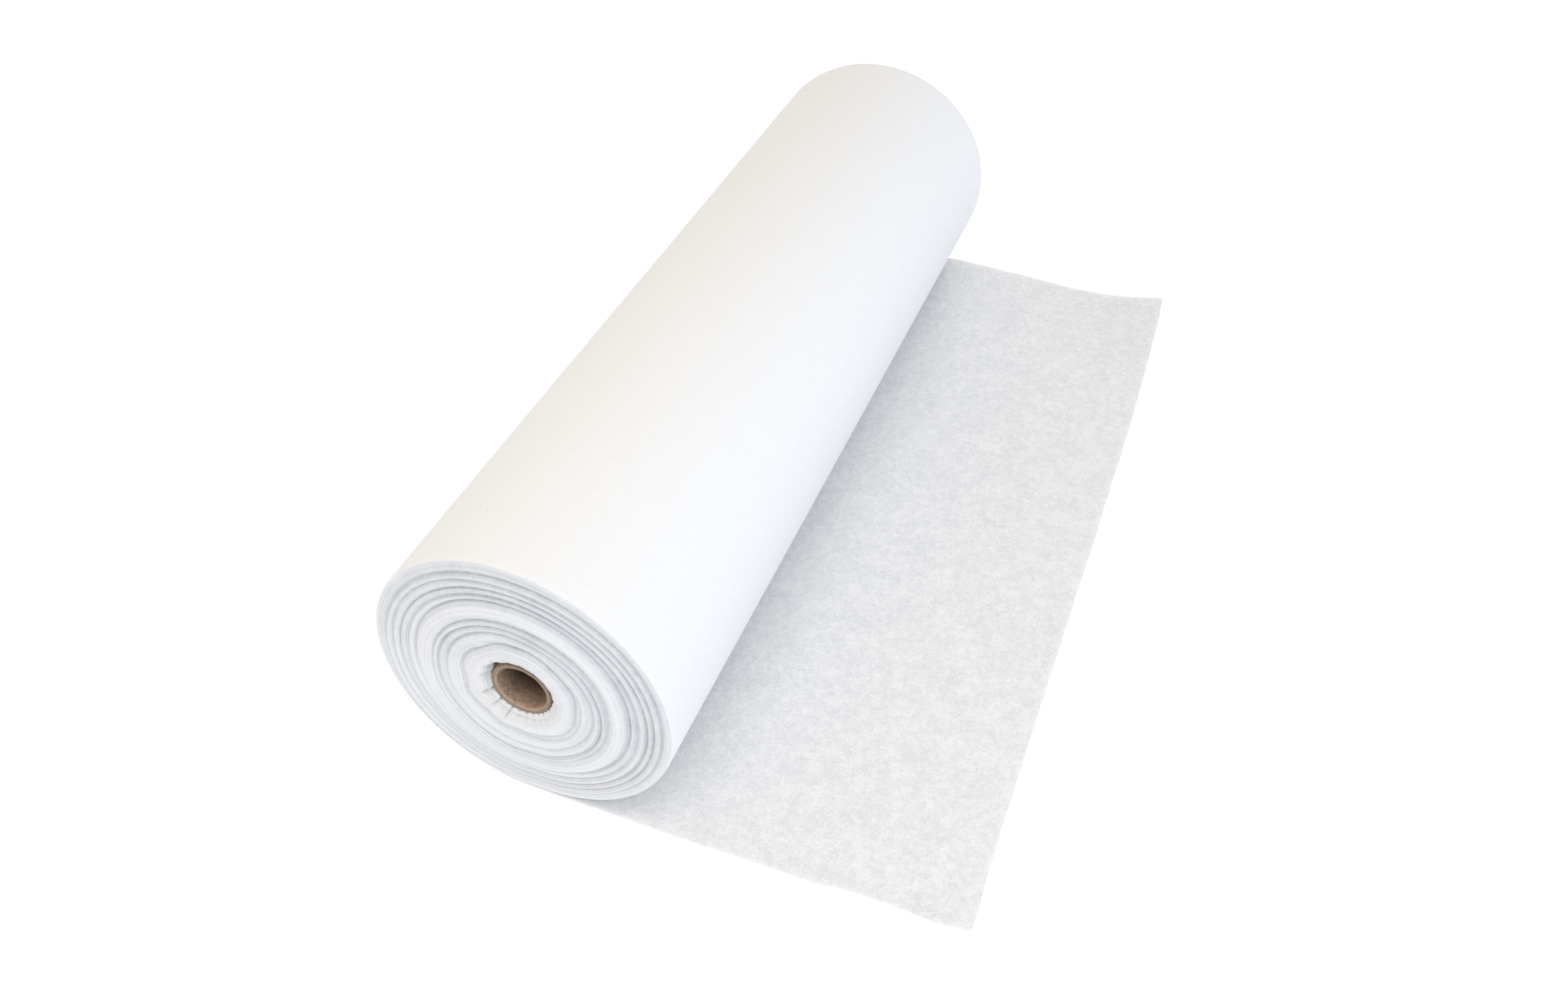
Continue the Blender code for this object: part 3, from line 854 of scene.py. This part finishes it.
coreLook = {
    "boreRadius": 24.5 * mm,
    "outerRadius": 28.7 * mm,
    "length": 1002 * mm,
    "standsOut": 2.6 * mm,
    "columns": 144,
    "plies": 7,
    "skinWidth": 0.8 * mm,  # how much of the cut the dark outer ply takes
    "cutDepth": 0.4 * mm,  # what lies nearer to an end than this is part of the cut
    # the cut's outer corner: (mm inside the outer face, mm from the end)
    "outerCorner": ((0.1, 0.5), (0.4, 0.1), (0.8, 0.1)),
    "plyWidth": 0.12 * mm,  # the grooves between plies: half width and depth
    "plyDepth": 0.14 * mm,
    # the bore's corner: (mm outside the bore, mm from the end, how pale it is)
    "boreCorner": ((0.35, 0, 0.9), (0.05, 0.35, 1.0)),
    "boreRows": (3, 12, 40, 120, 300, 500),  # mm from the end
    "outsideRows": (999, 700, 300, 3),
    "dent": 0.12 * mm,  # how uneven the cut is
    "dentSpacing": 5,
    "dentReach": 2 * mm,
    "dentClose": 6,  # columns over which the dents close up where the round ends
    # materials: (name, colour, how much paler its blotches are, whether it is the bore's)
    "boards": (("coreSkin", (0.22, 0.145, 0.095), 1.25, False),
               ("coreCut", (0.26, 0.205, 0.165), 1.2, False),
               # the bore's colour is dark cardboard, darkened further as painted shade
               ("coreInside", (0.12, 0.085, 0.062), 1.3, True)),
    "blotches": (60, 4, 0.6),
    "blotchRange": (0.35, 0.65),
    "fine": (900, 3, 0.65),
    "fineRange": (0.42, 0.7, 0, 0.4),
    "fineTone": 0.45,
    "flecks": (260, 0.12, 0.06),
    "fleckStrength": 0.6,
    "relief": (0.2 * mm, 0.5),
    "surface": (0.85, 0.0, 0.3),
    "paleLine": (0.46, 0.37, 0.29),
    "mouthPaintedLight": (0.64, 0.455, 0.32),
    "dark": (0.03, 0.02, 0.015),
    "mouthReach": 30 * mm,  # painted light reaches into the bore up to here
    "patches": (260, 4, 0.65),
    "patchRange": (0.35, 0.65, 0.4, 1),
    "seamTurn": 200,  # the inner ply's seam: degrees at the mouth, and degrees a metre
    "seamClimb": 2250,
    "seamWidth": 0.45 * mm,
    "seamStrength": 0.75,
    "seamReach": 22 * mm,  # how far in it stands open
    # small holes in the bore: (degrees clockwise from the top, mm from the mouth, mm across)
    "pinholes": ((224.7, 3.8, 1.3), (202.9, 1.3, 1.0)),
    "pinholeEdge": (0.35, 0.6),  # where a hole starts and stops to fade, in shares of its width
}
coreX, coreZ = roll["axisX"] + roll["coreOffset"], roll["axisHeight"] + roll["coreRise"]
coreMouth = roll["nearY"] - coreLook["standsOut"]


def addBoreColours(tree, where, colour):
    look = coreLook
    x, y, z = addNode(tree, "ShaderNodeSeparateXYZ", {"Vector": where}).outputs
    depth = minus(tree, y, coreMouth)
    # painted light near the opening of the bore, fading deeper in
    mouth = remap(tree, depth, 0, look["mouthReach"], 1, 0)
    patchy = remap(tree, noise(tree, where, *look["patches"]), *look["patchRange"])
    colour = mixColours(tree, times(tree, mouth, patchy), colour, look["mouthPaintedLight"])
    # the seam climbs the bore like a thread
    turn = maths(tree, "ARCTAN2", minus(tree, x, coreX), minus(tree, z, coreZ))
    climbed = times(tree, depth, radians(look["seamClimb"]))
    apart = minus(tree, minus(tree, turn, climbed), radians(look["seamTurn"]))
    apart = maths(tree, "FRACT", maths(tree, "ADD", maths(tree, "DIVIDE", apart, 2 * pi), 0.5))
    apart = maths(tree, "ABSOLUTE", minus(tree, apart, 0.5))
    seam = remap(tree, apart, 0, look["seamWidth"] / (2 * pi * look["boreRadius"]), look["seamStrength"], 0)
    seam = times(tree, seam, remap(tree, depth, 0, look["seamReach"], 1, 0))
    colour = mixColours(tree, seam, colour, look["dark"])
    for degrees, along, size in look["pinholes"]:
        centre = (coreX + look["boreRadius"] * sin(radians(degrees)), coreMouth + along * mm,
                  coreZ + look["boreRadius"] * cos(radians(degrees)))
        away = addNode(tree, "ShaderNodeVectorMath", {0: where, 1: centre}, operation="DISTANCE")
        start, stop = (size * mm * part for part in look["pinholeEdge"])
        hole = remap(tree, away.outputs["Value"], start, stop, 1, 0)
        colour = mixColours(tree, hole, colour, look["dark"])
    return colour


def makeCardboard(name, base, paler, isBore):
    look = coreLook
    material, tree, where = newMaterial(name)
    blotch = remap(tree, noise(tree, where, *look["blotches"]), *look["blotchRange"])
    colour = mixColours(tree, blotch, base, [paler * part for part in base])
    fine = noise(tree, where, *look["fine"])
    colour = mixColours(tree, remap(tree, fine, *look["fineRange"]), colour,
                        [look["fineTone"] * part for part in base])
    flecks = placeGroup(tree, speckGroup, where, *look["flecks"])["Mask"]
    colour = mixColours(tree, times(tree, flecks, look["fleckStrength"]), colour, look["dark"])
    colour = mixColours(tree, readValues(tree, "ply"), colour, look["paleLine"])
    if isBore:
        colour = addBoreColours(tree, where, colour)
    return finishMaterial(material, colour, bumpNormal(tree, fine, *look["relief"]), *look["surface"])


def makeCore():
    look = coreLook
    columns, bore, outer, length = (look[name] for name in ("columns", "boreRadius", "outerRadius", "length"))
    wall, plies = outer - bore, look["plies"]
    # half of the section, then the other half, as (radius, place along, how pale)
    section = [(outer - inset * mm, along * mm, 0) for inset, along in look["outerCorner"]]
    for ply in range(2, plies):
        radius = outer - wall * ply / plies
        section += [(radius + look["plyWidth"], 0, 0), (radius, look["plyDepth"], 0),
                    (radius - look["plyWidth"], 0, 0)]
    section += [(bore + inset * mm, along * mm, pale) for inset, along, pale in look["boreCorner"]]
    section += [(bore, along * mm, 0) for along in look["boreRows"]]
    section += [(radius, length - along, pale) for radius, along, pale in section[-2::-1]]
    section += [(outer, along * mm, 0) for along in look["outsideRows"]]
    radius, along, pale = np.array(section).T
    turn = 2 * pi * np.arange(columns)[:, None] / columns
    dents = wander(np.arange(columns), look["dentSpacing"], look["dent"], seeds["dents"])
    dents[-look["dentClose"]:] *= np.linspace(1, 0, look["dentClose"])
    dented = (along < look["dentReach"]) * 1.0 - (along > length - look["dentReach"])
    y = np.clip(coreMouth + along + dents[:, None] * dented, coreLow.y, coreHigh.y)
    points = np.stack([coreX + radius * np.sin(turn), y, coreZ + radius * np.cos(turn)], axis=-1)
    index = np.arange(columns * len(section)).reshape(columns, -1)
    after = np.roll(index, -1, axis=0)
    faces = np.stack([index, after, np.roll(after, -1, axis=1), np.roll(index, -1, axis=1)], axis=-1)
    # 0 the outside, 1 the cut, 2 the bore
    widest = np.maximum(radius, np.roll(radius, -1))
    low, high = np.sort([along, np.roll(along, -1)], axis=0)
    atCut = (high < look["cutDepth"]) | (low > length - look["cutDepth"])
    atCut &= widest < outer - look["skinWidth"] + 0.01 * mm
    finish = np.where(atCut, 1, np.where(widest > bore + wall / 2, 0, 2))
    piece = newPiece("cardboard_core", points, faces.reshape(-1, 4).tolist(),
                     [makeCardboard(*board) for board in look["boards"]], np.tile(finish, columns).tolist())
    addValues(piece, "ply", np.tile(pale, columns))
    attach(piece, "root")
    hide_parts("core_tube")


makeCore()
print("core made")

# loose fibres at the edges

fuzzLook = {
    "width": 0.11 * mm,
    "length": (0.8 * mm, 2.6 * mm),
    "segments": 3,
    "corners": 3,
    "taper": 0.75,
    "strayCount": 420,  # fibres that lie on the loose end
    "strayAcross": (0.3, 0.69),  # where, as start and span from the roll to the cut edge
    "strayRise": 0.1,  # how steeply they rise
    "strayLength": 2.2,
    # the loose end's near, cut and far edges: how many, start and span across, start and span
    # along, and the way the fibres stand
    "edges": ((1300, 0.07, 0.93, 0, 0, (0, -1, 0)), (2200, 1, 0, 0, 1, (1, 0, 0)),
              (1800, 0.02, 0.98, 1, 0, (0, 1, 0))),
    "heights": (0.2, 1.9),  # mm above the floor
    "rooted": 0.3 * mm,  # how deep they start inside
    "rimCount": 2600,  # the roll's near rim
    "rimDepths": (0.0, 1.0),  # mm
    "rimOutward": 0.5,
    "rimLength": 0.4,  # the rim's fibres are this much of the length and width
    "rimWidth": 0.7,
    "spread": 0.55,  # how much they point and curl at random
    "curl": 0.5,
    "straySpread": 0.3,  # and how much of that those that lie have
    "strayCurl": 1.2,
    "lowHeight": 4 * mm,  # fibres that start below this stay low
    "lowRise": 0.35,
    "leastHeight": 0.02 * mm,
    "colour": (0.93, 0.935, 0.945),
    "greyer": (0.80, 0.83, 0.88),
    "shade": (400, 1),
    "relief": (0.02 * mm, 0.2),
    "surface": (0.8, 0.12),
}


def makeFibreMaterial():
    material, tree, where = newMaterial("looseFibres")
    shade = noise(tree, where, *fuzzLook["shade"])
    colour = mixColours(tree, shade, fuzzLook["colour"], fuzzLook["greyer"])
    normal = bumpNormal(tree, shade, *fuzzLook["relief"])
    return finishMaterial(material, colour, normal, *fuzzLook["surface"])


def makeFuzz():
    look = fuzzLook
    draws = np.random.default_rng(seeds["fibres"])
    # those that lie on the loose end
    count = look["strayCount"]
    place = draws.random(count)
    start, span = look["strayAcross"]
    base = loosePlace(start + span * draws.random(count), place)
    base[:, 2] += webLook["looseThickness"] + 0.1 * mm
    away = 2 * pi * draws.random(count)
    spots = [base]
    ways = [np.stack([np.cos(away), np.sin(away), np.full(count, look["strayRise"])], axis=-1)]
    for count, across, acrossSpan, along, alongSpan, way in look["edges"]:
        place = draws.random(count)
        base = loosePlace(across + acrossSpan * place, along + alongSpan * place)
        base[:, 2] += draws.uniform(*look["heights"], count) * mm
        spots.append(base - np.array(way) * look["rooted"])
        ways.append(np.tile(way, (count, 1)))
    count = look["rimCount"]
    progress = draws.random(count)
    turn = roll["nipTurn"] - 2 * pi * progress
    along = readTable(webLook["nearSetBack"], progress) * mm
    radius = roll["radiusX"] - roll["pitch"] * (1 - progress) - draws.uniform(*look["rimDepths"], count) * mm
    spots.append(woundPlace(radius / roll["radiusX"], turn, along + look["rooted"]))
    outward = look["rimOutward"]
    ways.append(np.stack([outward * np.sin(turn), np.full(count, -1.0), outward * np.cos(turn)], axis=-1))
    spots, ways = np.concatenate(spots), np.concatenate(ways)
    count = len(spots)
    lying = np.arange(count)[:, None] < look["strayCount"]
    atRim = np.arange(count)[:, None] >= count - look["rimCount"]

    def bent(spread, lyingShare):
        # random bends; the fibres that lie bend only sideways
        sideways = np.where(lying, (lyingShare, lyingShare, 0), 1)
        return draws.normal(0, spread, (count, 3)) * sideways

    ways = ways + bent(look["spread"], look["straySpread"])
    ways[:, 2] = np.where(spots[:, 2] < look["lowHeight"], np.abs(ways[:, 2]) * look["lowRise"], ways[:, 2])
    ways /= np.linalg.norm(ways, axis=1, keepdims=True)
    curl = bent(look["curl"], look["strayCurl"])
    lengths = draws.uniform(*look["length"], count)[:, None]
    lengths = lengths * np.where(atRim, look["rimLength"], 1) * np.where(lying, look["strayLength"], 1)
    side = np.cross(ways, draws.normal(0, 1, (count, 3)))
    side /= np.linalg.norm(side, axis=1, keepdims=True)
    other = np.cross(ways, side)
    segments, corners = look["segments"], look["corners"]
    widths = look["width"] / 2 * np.where(atRim, look["rimWidth"], 1)
    points = np.zeros((count, segments + 1, corners, 3))
    for step, part in enumerate(np.linspace(0, 1, segments + 1)):
        centre = spots + lengths * (part * ways + part * part * curl)
        for corner in range(corners):
            angle = 2 * pi * corner / corners
            around = cos(angle) * side + sin(angle) * other
            points[:, step, corner] = centre + widths * (1 - look["taper"] * part) * around
    points[..., 2] = np.maximum(points[..., 2], look["leastHeight"])
    # the faces of one fibre, and its two ends
    ring = [(corner, (corner + 1) % corners) for corner in range(corners)]
    own = [(low + a, low + b, low + corners + b, low + corners + a)
           for low in range(0, segments * corners, corners) for a, b in ring]
    own += [range(corners)[::-1], range(segments * corners, (segments + 1) * corners)]
    size = (segments + 1) * corners
    faces = [[first + corner for corner in face] for first in range(0, count * size, size) for face in own]
    piece = newPiece("loose_fibres", points, faces, [makeFibreMaterial()])
    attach(piece, "root")
    print("loose fibres made,", len(faces), "faces")
    return piece


fuzz = makeFuzz()

# floor, light and finish

studio = {
    "floorSize": 14,
    "floorColour": (0.93, 0.93, 0.93),
    "floorGrain": (300, 2),
    "floorShade": 0.985,
    "floorSurface": (0.9, 0, 0.1, 0.36),
    "left": (1.04, 0.975, 0.895),
    "right": (0.97, 0.98, 1.0),
    "sides": (-0.8, 0.8),  # the way across over which left turns into right
    "lowRight": (0.84, 1.00, 1.34),
    "lowRightFrom": (0.1, 0.8),
    "lowRightHeight": (0.1, 0.55, 1, 0),
    "worldStrength": 0.79,
    # soft boxes: (name, place, size, power, colour), the second low, bluish and at the right
    "lights": (("keyLight", (0.45, -1.1, 2.1), 1.8, 19.5, (1.0, 0.98, 0.94)),
               ("fillLight", (1.5, -0.1, 0.3), 0.7, 2.4, (0.46, 0.70, 0.96))),
    "aim": (0, 0, 0.1),
}


def makeFloor():
    half = studio["floorSize"] / 2
    material, tree, where = newMaterial("floorPaper")
    colour = mixColours(tree, noise(tree, where, *studio["floorGrain"]), studio["floorColour"],
                        [studio["floorShade"] * part for part in studio["floorColour"]])
    finishMaterial(material, colour, None, *studio["floorSurface"])
    floor = newPiece("studio_floor", [(-half, -half, 0), (half, -half, 0), (half, half, 0), (-half, half, 0)],
                     [(0, 1, 2, 3)], [material], smooth=False)


def makeWorld():
    world = bpy.data.worlds.new("studioWorld")
    bpy.context.scene.world = world
    world.use_nodes = True
    tree = world.node_tree
    where = tree.nodes.new("ShaderNodeTexCoord").outputs["Generated"]
    x, y, z = addNode(tree, "ShaderNodeSeparateXYZ", {"Vector": where}).outputs
    colour = mixColours(tree, remap(tree, x, *studio["sides"]), studio["left"], studio["right"])
    low = times(tree, remap(tree, x, *studio["lowRightFrom"]), remap(tree, z, *studio["lowRightHeight"]))
    colour = mixColours(tree, low, colour, studio["lowRight"])
    setInputs(tree, tree.nodes["Background"], {"Color": colour, "Strength": studio["worldStrength"]})


def addSoftBox(name, place, size, power, colour):
    data = bpy.data.lights.new(name, "AREA")
    data.size, data.energy, data.color = size, power, colour
    light = bpy.data.objects.new(name, data)
    light.location = place
    light.rotation_mode = "QUATERNION"
    light.rotation_quaternion = (Vector(studio["aim"]) - Vector(place)).to_track_quat("-Z", "Y")
    bpy.context.scene.collection.objects.link(light)


makeFloor()
makeWorld()
for light in studio["lights"]:
    addSoftBox(*light)
bpy.context.scene.view_settings.view_transform = "Standard"
print("floor and light made")
